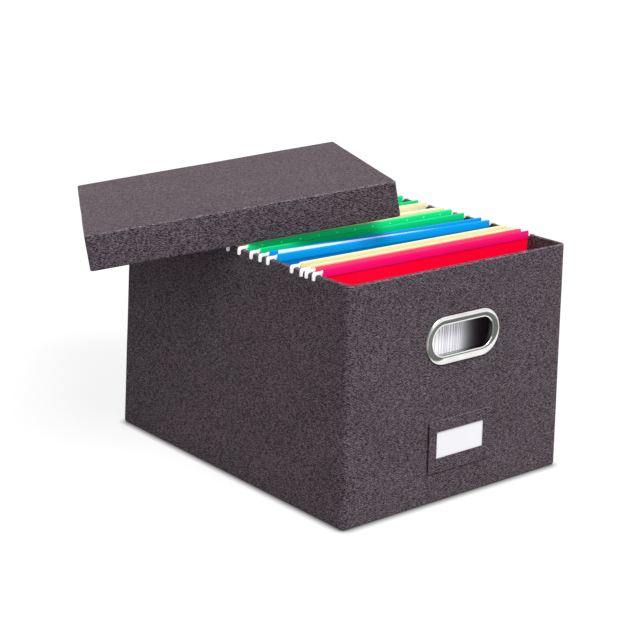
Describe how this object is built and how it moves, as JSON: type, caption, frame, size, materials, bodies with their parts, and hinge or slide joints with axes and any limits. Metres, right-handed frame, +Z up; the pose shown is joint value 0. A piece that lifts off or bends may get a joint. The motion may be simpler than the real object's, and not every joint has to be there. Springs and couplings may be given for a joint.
{
  "type": "portable file box",
  "caption": "Fabric-covered file box with chrome hand holes, a label holder, hanging folders on its rims and a lift-off lid lying askew on top.",
  "frame": {"origin": "middle of the underside of the box", "axes": "+Z up, -Y towards the end with the label holder, +X to the right of someone facing that end"},
  "size_m": [0.495, 0.6108, 0.3271],
  "materials": {
    "cover_fabric": "woven, matt",
    "greyboard": "matt",
    "lining": "matt",
    "grommet": "polished",
    "clip": "plated",
    "card": "smooth",
    "rods": "white coating",
    "red_sheet": "satin",
    "cream_sheet": "satin",
    "blue_sheet": "satin",
    "green_sheet": "satin",
    "sheets": "matt"
  },
  "bodies": {
    "box": {"base_cover": "cover_fabric", "floor_board": "greyboard", "front_board": "greyboard", "right_board": "greyboard", "back_board": "greyboard", "left_board": "greyboard", "outer_cover": "cover_fabric", "inner_lining": "lining", "front_grommet": "grommet", "front_grommet_clip": "clip", "back_grommet": "grommet", "back_grommet_clip": "clip", "label_holder": "cover_fabric"},
    "card": {"label_card": "card"},
    "lid": {"lid_top_board": "greyboard", "lid_front_board": "greyboard", "lid_right_board": "greyboard", "lid_back_board": "greyboard", "lid_left_board": "greyboard", "lid_cover": "cover_fabric", "lid_lining": "lining"},
    "sheets": {"loose_sheets": "sheets"},
    "red": {"red_folder": "red_sheet", "red_rods": "rods"},
    "cream": {"cream_folder": "cream_sheet", "cream_rods": "rods"},
    "blue": {"blue_folder": "blue_sheet", "blue_rods": "rods", "blue_file": "sheets"},
    "green": {"green_folder": "green_sheet", "green_rods": "rods"},
    "tan": {"tan_folder": "cream_sheet", "tan_rods": "rods", "tan_file": "sheets"},
    "lime": {"lime_folder": "green_sheet", "lime_rods": "rods"},
    "rear": {"rear_folder": "blue_sheet", "rear_rods": "rods"}
  },
  "joints": [
    {"name": "lid_lift", "type": "slide", "parent": "box", "child": "lid", "axis": [0, 0, 1], "range_m": [0, 0.16]},
    {"name": "card_slide", "type": "slide", "parent": "box", "child": "card", "axis": [-1, 0, 0], "range_m": [0, 0.07]},
    {"name": "red_lift", "type": "slide", "parent": "box", "child": "red", "axis": [0, 0, 1], "range_m": [0, 0.25]},
    {"name": "sheets_lift", "type": "slide", "parent": "box", "child": "sheets", "axis": [0, 0, 1], "range_m": [0, 0.25]},
    {"name": "cream_slide", "type": "slide", "parent": "box", "child": "cream", "axis": [0, 1, 0], "range_m": [0, 0.02]},
    {"name": "blue_slide", "type": "slide", "parent": "box", "child": "blue", "axis": [0, 1, 0], "range_m": [0, 0.005]},
    {"name": "green_slide", "type": "slide", "parent": "box", "child": "green", "axis": [0, -1, 0], "range_m": [0, 0.005]},
    {"name": "tan_slide", "type": "slide", "parent": "box", "child": "tan", "axis": [0, 1, 0], "range_m": [0, 0.005]},
    {"name": "lime_slide", "type": "slide", "parent": "box", "child": "lime", "axis": [0, 1, 0], "range_m": [0, 0.05]},
    {"name": "rear_slide", "type": "slide", "parent": "box", "child": "rear", "axis": [0, -1, 0], "range_m": [0, 0.018]}
  ]
}
